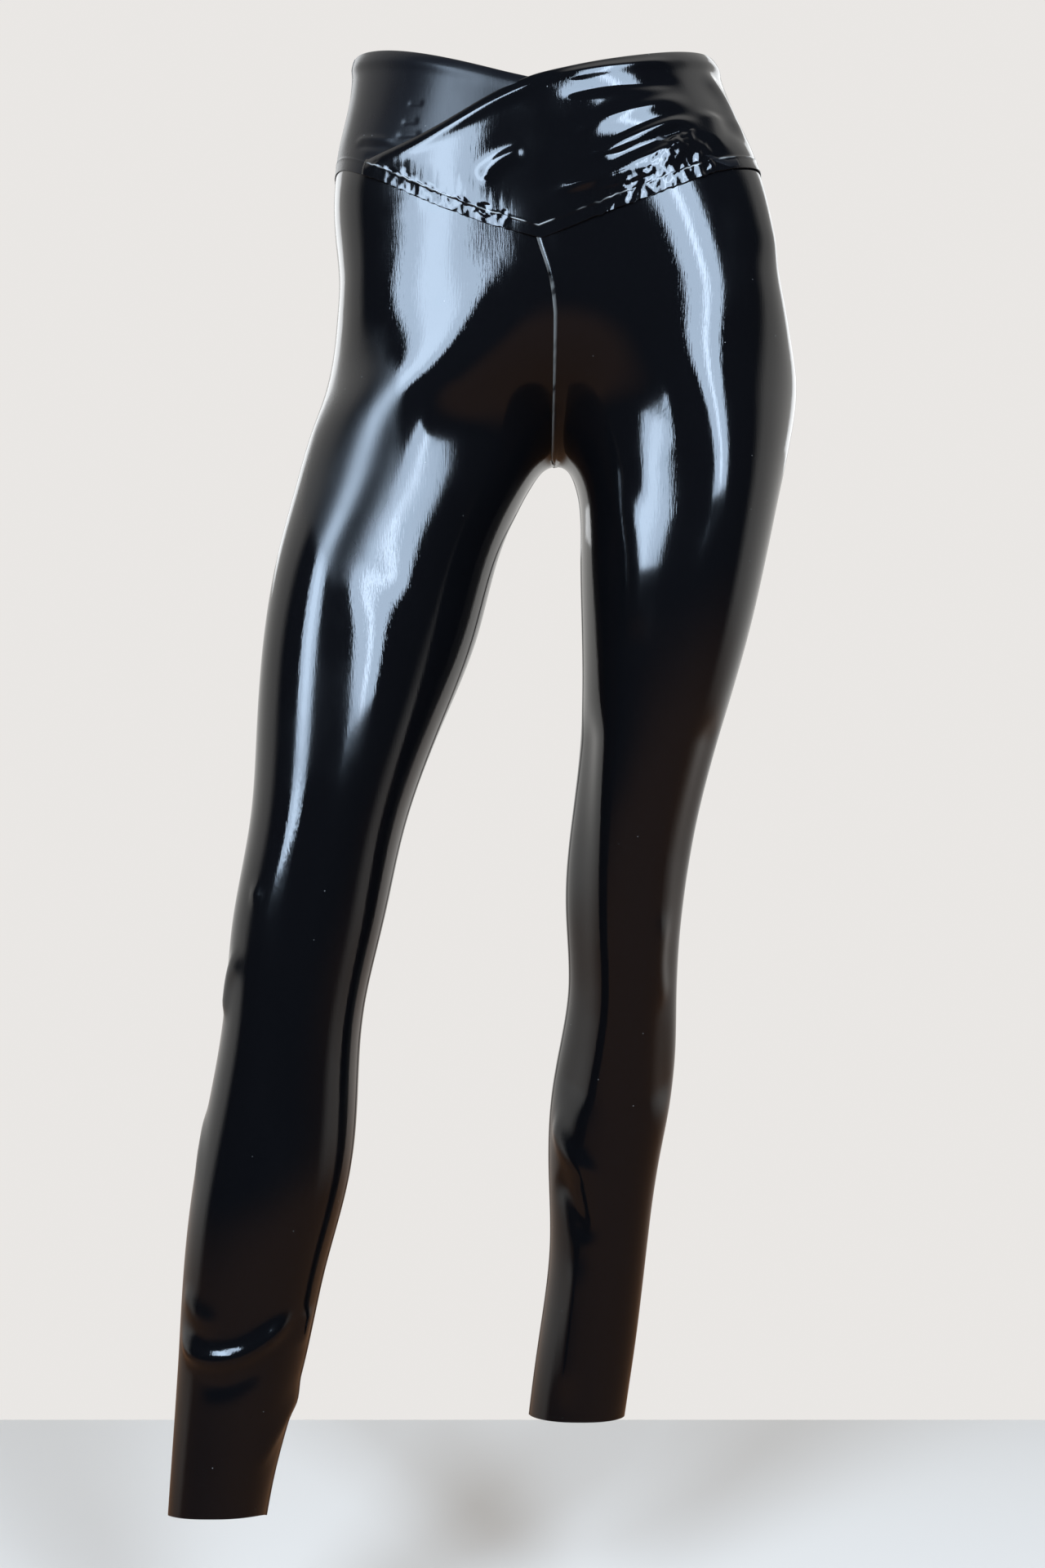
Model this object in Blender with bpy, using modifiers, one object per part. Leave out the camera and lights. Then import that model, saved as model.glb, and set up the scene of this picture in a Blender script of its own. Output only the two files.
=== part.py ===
"""Latex trousers as worn: two leg panels and a waistband that crosses over at the front.

Lengths are in millimetres until an object is made. +X is the wearer's left, -Y the front and +Z up.
The origin is the middle of the waist opening, where the wearer holds the garment up.
"""

import math

import bpy
import numpy as np

MM = 0.001
COLLECTION = "latex_trousers"

# The sheet and how its pieces meet.
WALL = 1.0  # thickness of every wall
SEAM_GAP = 0.3  # between pieces that are glued together
CENTRE_GAP = 0.4  # between the two leg panels, whose edges lean a little towards each other
LAP = 8.0  # how far the waistband laps over the leg panels
UNDER_OUT = WALL + SEAM_GAP  # how far the first layer over the leg panels stands out
OVER_OUT = 2 * UNDER_OUT  # and the second

# Colour of the rubber, and how glossy it is.
LATEX_COLOUR = (0.006, 0.006, 0.007, 1.0)
LATEX_ROUGHNESS = 0.06

# Sections of the hips and of each leg: an oval at each height, by the places of its four sides. The ovals are
# askew: the frontmost point lies this share of half the width to the wearer's right of the middle. A fullness
# of 2 is a true oval, and more is squarer at the corners.
SECTION_COLUMNS = ("height", "right_side", "left_side", "front", "back", "skew", "fullness")
HIPS = (
    (20, -124, 116, -90, 86, 0, 2.0),
    (0, -123, 119, -91, 88, 0, 2.0),
    (-40, -127, 131, -94, 91, 0, 2.1),
    (-80, -136, 146, -98, 97, -0.05, 2.4),
    (-120, -138, 154, -101, 107, -0.1, 2.8),
    (-160, -135, 160, -101, 117, -0.12, 3.2),
    (-200, -142, 171, -100, 121, -0.12, 3.4),
    (-240, -158, 178, -97, 116, -0.1, 3.4),
    (-280, -166, 172, -94, 100, -0.1, 3.2),
)
RIGHT_LEG = (
    (-100, -136, 5, -95, 95, 0, 2.2),
    (-140, -136, 8, -100, 108, -0.1, 2.2),
    (-180, -132, 10, -100, 116, -0.15, 2.2),
    (-220, -140, 11, -98, 112, -0.1, 2.2),
    (-260, -151, 9, -98, 94, 0.1, 2.2),
    (-300, -160, -8, -102, 62, 0.13, 2.2),
    (-340, -168, -25, -110, 46, 0.2, 2.2),
    (-400, -176, -41, -120, 28, 0.25, 2.2),
    (-460, -180, -64, -128, 8, 0.15, 2.2),
    (-520, -183, -85, -135, -13, 0.1, 2.2),
    (-580, -192, -98, -142, -30, 0.12, 2.2),
    (-640, -197, -111, -147, -41, 0.08, 2.2),
    (-700, -207, -115, -153, -43, 0.08, 2.2),
    (-740, -214, -119, -158, -48, 0.08, 2.2),
    (-800, -220, -134, -159, -61, 0.05, 2.2),
    (-860, -223, -147, -159, -75, 0, 2.2),
    (-920, -226, -163, -162, -88, 0, 2.2),
    (-960, -228, -170, -165, -95, 0, 2.2),
)
LEFT_LEG = (
    (-100, 12, 152, -95, 95, 0, 2.2),
    (-140, 14, 163, -100, 108, 0.1, 2.2),
    (-180, 15, 171, -101, 116, 0.15, 2.2),
    (-220, 17, 178, -101, 114, 0.1, 2.2),
    (-260, 20, 173, -102, 98, 0, 2.2),
    (-300, 29, 163, -103, 76, -0.05, 2.2),
    (-340, 30, 154, -102, 60, -0.06, 2.2),
    (-400, 31, 140, -97, 46, -0.06, 2.2),
    (-460, 30, 123, -88, 37, -0.06, 2.2),
    (-520, 24, 108, -77, 32, -0.06, 2.2),
    (-580, 20, 99, -66, 32, -0.12, 2.2),
    (-640, 22, 96, -54, 41, -0.08, 2.2),
    (-700, 13, 95, -43, 54, -0.08, 2.2),
    (-760, 9, 85, -37, 57, -0.08, 2.2),
    (-820, 10, 77, -33, 50, -0.05, 2.2),
    (-880, 3, 70, -32, 44, 0, 2.2),
    (-940, -5, 61, -34, 42, 0, 2.2),
    (-960, -7, 58, -35, 42, 0, 2.2),
)

# The rise: the rounded bottom of the hips that fills in between the legs.
RISE_CENTRE = (14, 15, -188)
RISE_RADII = (95, 100, 80)
RISE_STIFFNESS = 42.0  # turns the rise's level into millimetres near its face
FADE_TOP, FADE_BOTTOM = -160, -262  # heights between which the hips' ovals give way to the legs'
FILLET = 10.0  # how softly the legs and the rise run into each other

# Soft swells of the form, or hollows where the height is negative. Columns: height, half_width, points
# along the swell.
SWELLS = (
    (4.5, 28, ((-112, -62, -112), (-112, -64, -150), (-116, -72, -190))),
    (4.5, 24, ((140, -72, -104), (150, -74, -140))),
    (-4.0, 27, ((-46, -92, -270), (-79, -98, -331), (-96, -106, -362))),
    (-3.0, 24, ((64, -97, -262), (80, -101, -292), (79, -101, -320))),
    (-7.0, 20, ((0, 114, -150), (7, 119, -188), (13, 110, -224))),
    (6.0, 34, ((-66, 121, -200), (-70, 108, -238))),
    (6.0, 34, ((84, 112, -206), (88, 107, -240))),
)

# Centre-front and centre-back seam. Columns: height, x.
CENTRE_SEAM = ((20, 0), (-60, 0), (-120, 0), (-150, 1), (-175, 9), (-200, 13))
RISE_TURN = -200  # the height below which the seam turns under between the legs
CROTCH_CORE = -222  # height inside each leg that the crotch ring's points are seen from
DIP_REACH = 150  # how far below that the rings still dip towards the crotch

# The leg panels' top edges. Columns: turn, height. The turn is how far round a point is: 0 at centre front,
# 1 at centre back.
RIGHT_V = ((0, -147), (0.1, -136), (0.2, -121), (0.3, -101), (0.4, -84), (0.5, -79), (0.75, -76), (1, -75))
LEFT_V = ((0, -147), (0.1, -134), (0.2, -118), (0.3, -99), (0.4, -89), (0.5, -84), (0.75, -78), (1, -75))

# The waistband's upper edges. Columns: turn, height. Turns here run to -1 on the wearer's right and to 1 on
# the left, and on to 1.5 for the right side seam.
OVER_EDGE = (
    (0.5, -6),
    (0.35, -20),
    (0.2, -35),
    (0.05, -47),
    (-0.1, -63),
    (-0.2, -80),
    (-0.3, -93),
    (-0.4, -100),
)
UNDER_EDGE = (
    (-0.5, -3),
    (-0.35, -18),
    (-0.2, -35),
    (-0.05, -50),
    (0.1, -65),
    (0.2, -82),
    (0.3, -95),
    (0.4, -101),
)
BACK_EDGE = ((0.5, -6), (0.75, 0), (1, 3), (1.25, 2), (1.5, -3))

# Hems. Columns: height of the sides, how much higher the front is.
RIGHT_HEM = (-945, 14)
LEFT_HEM = (-938, 10)
HEM_REACH = 110  # how far up a leg its rows share the hem's tilt

# The largest folds, as soft ridges that stand out of one panel each (or a trough, where the height is
# negative). Columns: panel, height, half_width, points along the fold.
FOLDS = (
    ("wrap_over", 3.0, 10, ((101, -67, -66), (45, -97, -98), (21, -103, -121))),
    ("wrap_over", 2.0, 9, ((-6, -100, -100), (-46, -95, -126))),
    ("wrap_over", 3.5, 11, ((102, -54, -32), (122, -41, -55), (132, -46, -88))),
    ("wrap_over", 3.0, 10, ((112, -64, -82), (97, -79, -98), (72, -93, -116))),
    ("wrap_under", 1.5, 6, ((-117, -49, -68), (-96, -70, -76))),
    ("wrap_under", 2.0, 6, ((-83, -75, -66), (-61, -85, -60))),
    ("back_band", 2.5, 12, ((-98, 62, -30), (-60, 84, -52), (-22, 92, -62))),
    ("back_band", 2.5, 12, ((92, 66, -34), (52, 88, -50), (16, 92, -66))),
    ("leg_right_panel", 3.0, 12, ((-179, -131, -601), (-192, -123, -638))),
    ("leg_right_panel", 3.5, 12, ((-214, -140, -831), (-190, -157, -832), (-150, -146, -817))),
    ("leg_right_panel", 2.5, 12, ((-159, -140, -887), (-171, -151, -906))),
    ("leg_right_panel", 3.0, 13, ((-196, -18, -580), (-160, 2, -592), (-128, -10, -584))),
    ("leg_right_panel", 3.0, 13, ((-214, -72, -846), (-190, -58, -852), (-162, -66, -846))),
    ("leg_left_panel", 3.0, 12, ((11, -2, -743), (30, -29, -756))),
    ("leg_left_panel", -3.5, 12, ((13, -8, -776), (32, -30, -800))),
    ("leg_left_panel", 2.5, 12, ((24, -27, -862), (18, -30, -917))),
    ("leg_left_panel", 2.5, 12, ((48, -63, -294), (61, -72, -350), (60, -68, -413))),
    ("leg_left_panel", 3.0, 13, ((34, 34, -604), (64, 50, -612), (92, 30, -602))),
    ("leg_left_panel", 3.0, 13, ((10, 26, -846), (36, 44, -852), (62, 34, -844))),
)

# How finely the panels are divided.
LEG_COLUMNS = 28
WRAP_COLUMNS = 2 * LEG_COLUMNS  # to each half of the girth
RISE_ROWS = 12
LEG_ROWS = 40
BAND_ROWS = 9
SIDE_TURN = 0.5  # the waistband's side seams
SIDE_GAP = 0.0005  # half the gap at a side seam, as a turn
TIP_TURN = 9 / 28  # where a wrap's narrow end meets the far V seam
STEP_START, STEP_END = 0.34, 0.46  # turns between which the upper wrap steps down off the lower one
TIP_HEIGHT = 3.0  # what is left of the wrap above the seam there


def spline(rows, column):
    """A natural cubic through one column of a table, as a function of the first."""
    rows = sorted(rows)
    x = np.array([row[0] for row in rows], float)
    y = np.array([row[column] for row in rows], float)
    count = len(x)
    gap = np.diff(x)
    system = np.eye(count)
    right = np.zeros(count)
    for i in range(1, count - 1):
        system[i, i - 1 : i + 2] = gap[i - 1], 2 * (gap[i - 1] + gap[i]), gap[i]
        right[i] = 6 * ((y[i + 1] - y[i]) / gap[i] - (y[i] - y[i - 1]) / gap[i - 1])
    bend = np.linalg.solve(system, right)

    def value(at):
        at = np.clip(at, x[0], x[-1])
        i = np.clip(np.searchsorted(x, at) - 1, 0, count - 2)
        past = at - x[i]
        left = x[i + 1] - at
        cubic = (bend[i] * left**3 + bend[i + 1] * past**3) / (6 * gap[i])
        return cubic + (y[i] / gap[i] - bend[i] * gap[i] / 6) * left + (
            y[i + 1] / gap[i] - bend[i + 1] * gap[i] / 6
        ) * past

    return value


def section_splines(rows):
    return [spline(rows, column) for column in range(1, len(SECTION_COLUMNS))]


HIPS_AT = section_splines(HIPS)
LEGS_AT = {"right": section_splines(RIGHT_LEG), "left": section_splines(LEFT_LEG)}
CENTRE_AT = spline(CENTRE_SEAM, 1)
V_AT = {-1: spline(RIGHT_V, 1), 1: spline(LEFT_V, 1)}


def oval(section, height):
    """Centre and half sizes of a section."""
    right, left, front, back = [side(height) for side in section[:4]]
    return (right + left) / 2, (front + back) / 2, (left - right) / 2, (back - front) / 2


def oval_level(points, section):
    """Zero on the section's oval, and about the distance from it nearby."""
    x, y, half_x, half_y = oval(section, points[..., 2])
    skew, fullness = [side(points[..., 2]) for side in section[4:]]
    across = (points[..., 0] - x) / half_x
    along = ((points[..., 1] - y) / half_y - skew * across) / np.sqrt(1 - skew**2)
    ratio = (np.abs(across) ** fullness + np.abs(along) ** fullness) ** (2 / fullness)
    return (ratio - 1) * np.sqrt(half_x * half_y) / 2


def ease(share):
    """From 0 to 1 with no kink in slope or curvature."""
    share = np.clip(share, 0, 1)
    return share**3 * (share * (6 * share - 15) + 10)


def segment_distance(points, start, end):
    """Distance from points to the straight line between two others."""
    start, end = np.array(start, float), np.array(end, float)
    along = end - start
    share = np.clip((points - start) @ along / (along @ along), 0, 1)
    return np.linalg.norm(points - start - share[..., None] * along, axis=-1)


def swell(points):
    """How far the form's soft swells stand out."""
    total = np.zeros(points.shape[:-1])
    for height, half_width, along in SWELLS:
        spans = [segment_distance(points, *ends) for ends in zip(along, along[1:])]
        total += height * np.exp(-((np.minimum.reduce(spans) / half_width) ** 2))
    return total


def form_level(points):
    """Zero on the outside of the leg panels, below zero inside and above zero outside."""
    hips = oval_level(points, HIPS_AT)
    ratio = sum(((points[..., k] - RISE_CENTRE[k]) / RISE_RADII[k]) ** 2 for k in range(3))
    lobes = [oval_level(points, section) for section in LEGS_AT.values()]
    lobes.append((ratio - 1) * RISE_STIFFNESS)
    nearest = np.minimum.reduce(lobes)
    legs = nearest - FILLET * np.log(sum(np.exp((nearest - lobe) / FILLET) for lobe in lobes))
    fade = ease((FADE_TOP - points[..., 2]) / (FADE_TOP - FADE_BOTTOM))
    return (1 - fade) * hips + fade * legs - swell(points)


def outward(points, step=0.5):
    """Unit normals of the form at points on it."""
    slope = np.empty_like(points)
    for axis in range(3):
        shift = np.zeros(3)
        shift[axis] = step
        slope[..., axis] = form_level(points + shift) - form_level(points - shift)
    return slope / np.linalg.norm(slope, axis=-1, keepdims=True)


def first_hit(origins, targets, reach=1.5, steps=30, halvings=26):
    """Where each line from an origin inside the form through its target first leaves the form."""
    origins, targets = np.broadcast_arrays(origins, targets)
    span = targets - origins
    shares = np.linspace(0, reach, steps)
    outside = np.array([form_level(origins + share * span) > 0 for share in shares])
    if not outside.any(axis=0).all():
        raise ValueError("a line never leaves the form")
    first = outside.argmax(axis=0)
    high = shares[first]
    low = high - shares[1]
    for _ in range(halvings):
        middle = (low + high) / 2
        out = form_level(origins + middle[..., None] * span) > 0
        high = np.where(out, middle, high)
        low = np.where(out, low, middle)
    return origins + ((low + high) / 2)[..., None] * span


def stack(x, y, z):
    return np.stack(np.broadcast_arrays(x, y, z), axis=-1).astype(float)


FAR = 300.0  # past the form from anywhere inside it


def seam_point(share, top, front, side):
    """A point of the centre seam, from its top (share 0) to the crotch (share 1).

    It runs straight down to RISE_TURN and then turns under. side is -1 or 1, for the panel that the
    point is on: half of CENTRE_GAP lies on each side of the seam.
    """
    share = np.asarray(share, float)
    straight = (top - RISE_TURN) / (top - RISE_TURN + math.pi / 2 * RISE_RADII[2])
    height = top + (RISE_TURN - top) * np.clip(share / straight, 0, 1)
    turned = math.pi / 2 * np.clip((share - straight) / (1 - straight), 0, 1)
    x = CENTRE_AT(height) + side * CENTRE_GAP / 2
    origin = stack(x, RISE_CENTRE[1], height)
    way = -1 if front else 1
    ahead = stack(0 * turned, way * np.cos(turned), -np.sin(turned))
    return first_hit(origin, origin + FAR * ahead, reach=1)


def girth_point(turn, height):
    """A point of the hips by how far round it is (-1 to 1, 0 at centre front) and its height."""
    turn, height = np.broadcast_arrays(np.asarray(turn, float), np.asarray(height, float))
    x, y, _, half_y = oval(HIPS_AT, height)
    lean = np.arctan2(CENTRE_AT(height) - x, half_y)
    angle = lean + (math.pi - 2 * lean * np.sign(turn)) * turn
    origin = stack(x, y, height)
    ahead = stack(np.sin(angle), -np.cos(angle), 0 * angle)
    return first_hit(origin, origin + FAR * ahead, reach=1)


def leg_rings(leg, side, hem):
    """Rows of points down one leg panel, from the V seam to the hem.

    The first rows are open, from the centre-front seam round the outside to the centre-back seam. From
    the crotch down they are closed at the inseam, so their last point repeats their first.
    """
    turns = np.linspace(0, 1, LEG_COLUMNS + 1)
    top = v_seam(side * turns, side)
    tops = [top, top - LAP]
    open_rows = girth_point(side * turns, np.array(tops))
    for row, heights in zip(open_rows, tops):
        row[0] = seam_point(0, heights[0], True, side)
        row[-1] = seam_point(0, heights[-1], False, side)
    crotch = seam_point(1, tops[1][0], True, side)
    closed_rows = closed_rings(leg, side, turns, hem, crotch)
    rise = rise_rings(leg, side, turns, open_rows[1], closed_rows[0])
    return np.concatenate([open_rows, rise, closed_rows])


def rise_rings(leg, side, turns, upper, lower):
    """Open rows between the V seam's lap and the crotch ring, whose ends run down the centre seam."""
    shares = np.arange(1, RISE_ROWS) / (RISE_ROWS + 1)  # the last step, to the crotch ring, is a double one
    fronts = seam_point(shares, upper[0, 2], True, side)[:, None]
    backs = seam_point(shares, upper[-1, 2], False, side)[:, None]
    share = shares[:, None, None]
    turn = turns[None, :, None]
    guides = upper + share * (lower - upper)
    guides = guides + (1 - turn) ** 3 * (fronts - guides[:, :1]) + turn**3 * (backs - guides[:, -1:])
    core_height = upper[:, 2].mean() + shares * (CROTCH_CORE - upper[:, 2].mean())
    x, y, _, _ = oval(LEGS_AT[leg], core_height[:, None])
    heights = guides[..., 2] + shares[:, None] * (CROTCH_CORE - guides[..., 2])
    rows = first_hit(stack(x, y, heights), guides)
    rows[:, :1] = fronts
    rows[:, -1:] = backs
    return rows


def closed_rings(leg, side, turns, hem, crotch):
    """Closed rows from the crotch to the hem, which dip towards the crotch while they are near it."""
    hem_height, front_rise = hem
    levels = np.linspace(CROTCH_CORE, hem_height, LEG_ROWS + 1)[:, None]
    angle = 2 * math.pi * turns
    tilt = ease((hem_height + HEM_REACH - levels) / HEM_REACH)
    heights = levels + tilt * front_rise * np.sin(angle)
    x, y, _, _ = oval(LEGS_AT[leg], heights)
    x_core, y_core, _, _ = oval(LEGS_AT[leg], CROTCH_CORE)
    pull = (1 - ease((CROTCH_CORE - levels) / DIP_REACH)) * ((1 + np.cos(angle)) / 2) ** 2
    reach = abs(crotch[0] - x_core)
    dip = pull * (CROTCH_CORE - crotch[2]) / reach
    swing = pull * (crotch[1] - y_core) / reach
    origins = stack(x, y, heights)
    ahead = stack(-side * np.cos(angle), swing - np.sin(angle), -dip)
    rows = first_hit(origins, origins + FAR * ahead, reach=1, steps=90)
    rows[0, 0] = crotch
    rows[:, -1] = rows[:, 0]
    return rows


def v_seam(turn, side):
    """Height of the leg panels' top edge on one side (-1 right, 1 left)."""
    return V_AT[side](np.abs(turn))


def band_rows(turns, edge):
    """Rows of points up a waistband piece, from its lapped edge below the V seam to its upper edge."""
    turns = np.where(turns > 1, turns - 2, turns)
    seam = np.where(turns < 0, v_seam(turns, -1), v_seam(turns, 1))
    upper = np.maximum(edge, seam + TIP_HEIGHT)
    shares = np.arange(BAND_ROWS)[:, None] / (BAND_ROWS - 1)
    return girth_point(turns, np.vstack([seam - LAP, seam + (upper - seam) * shares]))


def fold_relief(panel, points):
    """How far a panel's folds stand out at points on the form."""
    relief = np.zeros(points.shape[:-1])
    for name, height, half_width, along in FOLDS:
        if name == panel:
            spans = [segment_distance(points, *ends) for ends in zip(along, along[1:])]
            distance = np.minimum.reduce(spans)
            relief += height * np.exp(-((distance / half_width) ** 2))
    return relief


def surface_object(name, points, out=0.0):
    """An open surface through rows of points, moved out by layer and folds, with Solidify for its wall."""
    points = points + (out + fold_relief(name, points))[..., None] * outward(points)
    count = points.shape[1]
    mesh = bpy.data.meshes.new(name)
    index = np.arange(points[..., 0].size).reshape(points.shape[:2])
    closed = np.all(points[:, 0] == points[:, -1], axis=-1)
    index[closed, -1] = index[closed, 0]
    faces = []
    for row in range(len(points) - 1):
        for column in range(count - 1):
            a, b = index[row, column], index[row, column + 1]
            c, d = index[row + 1, column + 1], index[row + 1, column]
            faces.append([d, c, b, a])
    used = np.unique(index)
    renumber = {int(old): new for new, old in enumerate(used)}
    vertices = points.reshape(-1, 3)[used] * MM
    mesh.from_pydata(vertices.tolist(), [], [[renumber[int(v)] for v in face] for face in faces])
    obj = bpy.data.objects.new(name, mesh)
    bpy.data.collections[COLLECTION].objects.link(obj)
    wall = obj.modifiers.new("wall", "SOLIDIFY")
    wall.thickness = WALL * MM
    wall.offset = -1
    mesh.shade_smooth()
    mesh.materials.append(latex())
    return obj


def latex():
    """Black rubber polished with silicone."""
    if "latex" in bpy.data.materials:
        return bpy.data.materials["latex"]
    material = bpy.data.materials.new("latex")
    material.use_nodes = True
    shader = material.node_tree.nodes["Principled BSDF"]
    shader.inputs["Base Color"].default_value = LATEX_COLOUR
    shader.inputs["Roughness"].default_value = LATEX_ROUGHNESS
    shader.inputs["Metallic"].default_value = 0.0
    return material


def make_leg(leg, side, hem):
    rows = leg_rings(leg, side, hem)
    if side < 0:
        rows = rows[:, ::-1]
    return surface_object(f"leg_{leg}_panel", rows)


def make_band(name, first, last, edge, out, columns_a_half):
    """A waistband piece between two turns, whose columns stand over the leg panels'."""
    columns = round((last - first) * columns_a_half)
    turns = first + np.arange(columns + 1) / columns_a_half
    turns[0] += SIDE_GAP
    turns[-1] -= SIDE_GAP
    rows = band_rows(turns, spline(edge, 1)(turns))
    return surface_object(name, rows[::-1], out(turns))


def first_layer(turns):
    return np.full_like(turns, UNDER_OUT)


def second_layer(turns):
    """Over the other wrap as far as its narrow end, then down beside the back band."""
    return UNDER_OUT + (OVER_OUT - UNDER_OUT) * ease((STEP_END - turns) / (STEP_END - STEP_START))


def main():
    for obj in list(bpy.data.objects):
        bpy.data.objects.remove(obj, do_unlink=True)
    collection = bpy.data.collections.new(COLLECTION)
    bpy.context.scene.collection.children.link(collection)
    make_leg("right", -1, RIGHT_HEM)
    make_leg("left", 1, LEFT_HEM)
    make_band("wrap_under", -SIDE_TURN, TIP_TURN, UNDER_EDGE, first_layer, WRAP_COLUMNS)
    make_band("wrap_over", -TIP_TURN, SIDE_TURN, OVER_EDGE, second_layer, WRAP_COLUMNS)
    make_band("back_band", SIDE_TURN, 2 - SIDE_TURN, BACK_EDGE, first_layer, LEG_COLUMNS)


main()
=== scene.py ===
"""Looks of the latex trousers: thin glossy shells on the solids' forms, with their seams, folds and crinkles.

Form and folds are worked out in millimetres in the solids' own frame: +X is the wearer's left, -Y the front
and +Z up, and the origin is the middle of the waist opening. Objects are made in metres.
"""

import math

import bpy
import numpy as np
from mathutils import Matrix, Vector, noise


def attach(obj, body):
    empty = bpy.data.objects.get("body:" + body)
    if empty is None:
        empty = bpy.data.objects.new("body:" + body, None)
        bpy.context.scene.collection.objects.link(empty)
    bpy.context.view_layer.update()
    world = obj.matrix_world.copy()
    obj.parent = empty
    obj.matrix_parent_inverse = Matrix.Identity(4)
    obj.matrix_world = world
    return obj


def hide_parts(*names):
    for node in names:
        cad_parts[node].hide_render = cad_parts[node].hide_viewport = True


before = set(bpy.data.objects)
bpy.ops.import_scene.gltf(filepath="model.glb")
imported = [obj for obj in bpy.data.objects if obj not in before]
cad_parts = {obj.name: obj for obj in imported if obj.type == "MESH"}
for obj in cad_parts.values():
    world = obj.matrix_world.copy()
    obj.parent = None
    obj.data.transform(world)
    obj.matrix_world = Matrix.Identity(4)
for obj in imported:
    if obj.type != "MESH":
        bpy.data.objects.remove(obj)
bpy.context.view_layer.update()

MM = 0.001

# ---------------------------------------------------------------- the form, as the solids have it

# Sections of the hips and of each leg: an oval at each height, by the places of its four sides. The ovals are
# askew: the frontmost point lies this share of half the width to the wearer's right of the middle. A fullness
# of 2 is a true oval, and more is squarer at the corners.
# Columns: height, right_side, left_side, front, back, skew, fullness.
HIPS = (
    (20, -124, 116, -90, 86, 0, 2.0),
    (0, -123, 119, -91, 88, 0, 2.0),
    (-40, -127, 131, -94, 91, 0, 2.1),
    (-80, -136, 146, -98, 97, -0.05, 2.4),
    (-120, -138, 154, -101, 107, -0.1, 2.8),
    (-160, -135, 160, -101, 117, -0.12, 3.2),
    (-200, -142, 171, -100, 121, -0.12, 3.4),
    (-240, -158, 178, -97, 116, -0.1, 3.4),
    (-280, -166, 172, -94, 100, -0.1, 3.2),
)
RIGHT_LEG = (
    (-100, -136, 5, -95, 95, 0, 2.2),
    (-140, -136, 8, -100, 108, -0.1, 2.2),
    (-180, -132, 10, -100, 116, -0.15, 2.2),
    (-220, -140, 11, -98, 112, -0.1, 2.2),
    (-260, -151, 9, -98, 94, 0.1, 2.2),
    (-300, -160, -8, -102, 62, 0.13, 2.2),
    (-340, -168, -25, -110, 46, 0.2, 2.2),
    (-400, -176, -41, -120, 28, 0.25, 2.2),
    (-460, -180, -64, -128, 8, 0.15, 2.2),
    (-520, -183, -85, -135, -13, 0.1, 2.2),
    (-580, -192, -98, -142, -30, 0.12, 2.2),
    (-640, -197, -111, -147, -41, 0.08, 2.2),
    (-700, -207, -115, -153, -43, 0.08, 2.2),
    (-740, -214, -119, -158, -48, 0.08, 2.2),
    (-800, -220, -134, -159, -61, 0.05, 2.2),
    (-860, -223, -147, -159, -75, 0, 2.2),
    (-920, -226, -163, -162, -88, 0, 2.2),
    (-960, -228, -170, -165, -95, 0, 2.2),
)
LEFT_LEG = (
    (-100, 12, 152, -95, 95, 0, 2.2),
    (-140, 14, 163, -100, 108, 0.1, 2.2),
    (-180, 15, 171, -101, 116, 0.15, 2.2),
    (-220, 17, 178, -101, 114, 0.1, 2.2),
    (-260, 20, 173, -102, 98, 0, 2.2),
    (-300, 29, 163, -103, 76, -0.05, 2.2),
    (-340, 30, 154, -102, 60, -0.06, 2.2),
    (-400, 31, 140, -97, 46, -0.06, 2.2),
    (-460, 30, 123, -88, 37, -0.06, 2.2),
    (-520, 24, 108, -77, 32, -0.06, 2.2),
    (-580, 20, 99, -66, 32, -0.12, 2.2),
    (-640, 22, 96, -54, 41, -0.08, 2.2),
    (-700, 13, 95, -43, 54, -0.08, 2.2),
    (-760, 9, 85, -37, 57, -0.08, 2.2),
    (-820, 10, 77, -33, 50, -0.05, 2.2),
    (-880, 3, 70, -32, 44, 0, 2.2),
    (-940, -5, 61, -34, 42, 0, 2.2),
    (-960, -7, 58, -35, 42, 0, 2.2),
)

# The rise: the rounded bottom of the hips that fills in between the legs.
RISE_CENTRE = (14, 15, -188)
RISE_RADII = (95, 100, 80)
RISE_STIFFNESS = 42.0  # turns the rise's level into millimetres near its face
FADE_TOP, FADE_BOTTOM = -160, -262  # heights between which the hips' ovals give way to the legs'
FILLET = 10.0  # how softly the legs and the rise run into each other

# Soft swells of the form, or hollows where the height is negative. Columns: height, half_width, points
# along the swell.
SWELLS = (
    (4.5, 28, ((-112, -62, -112), (-112, -64, -150), (-116, -72, -190))),
    (4.5, 24, ((140, -72, -104), (150, -74, -140))),
    (-4.0, 27, ((-46, -92, -270), (-79, -98, -331), (-96, -106, -362))),
    (-3.0, 24, ((64, -97, -262), (80, -101, -292), (79, -101, -320))),
    (-7.0, 20, ((0, 114, -150), (7, 119, -188), (13, 110, -224))),
    (6.0, 34, ((-66, 121, -200), (-70, 108, -238))),
    (6.0, 34, ((84, 112, -206), (88, 107, -240))),
)

# More soft swells and hollows of the sheet, which the solids leave out. The same columns.
SOFT_SWELLS = (
    (2.2, 23, ((-2, -99, -150), (-6, -98, -175), (-30, -96, -205), (-52, -95, -238))),
    (1.6, 14, ((-2, -95, -52), (0, -97, -72))),
    (-4.5, 18, ((32, -46, -470), (28, -48, -540), (28, -40, -600), (29, -33, -650), (21, -23, -700))),
    (-3.5, 16, ((112, -66, -470), (97, -57, -540), (92, -46, -600), (88, -37, -660), (88, -27, -700))),
)

# Centre-front and centre-back seam. Columns: height, x.
CENTRE_SEAM = ((20, 0), (-60, 0), (-120, 0), (-150, 1), (-175, 9), (-200, 13))
RISE_TURN = -200  # the height below which the seam turns under between the legs
CROTCH_CORE = -222  # height inside each leg that the crotch ring's points are seen from
DIP_REACH = 150  # how far below that the rings still dip towards the crotch

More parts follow.
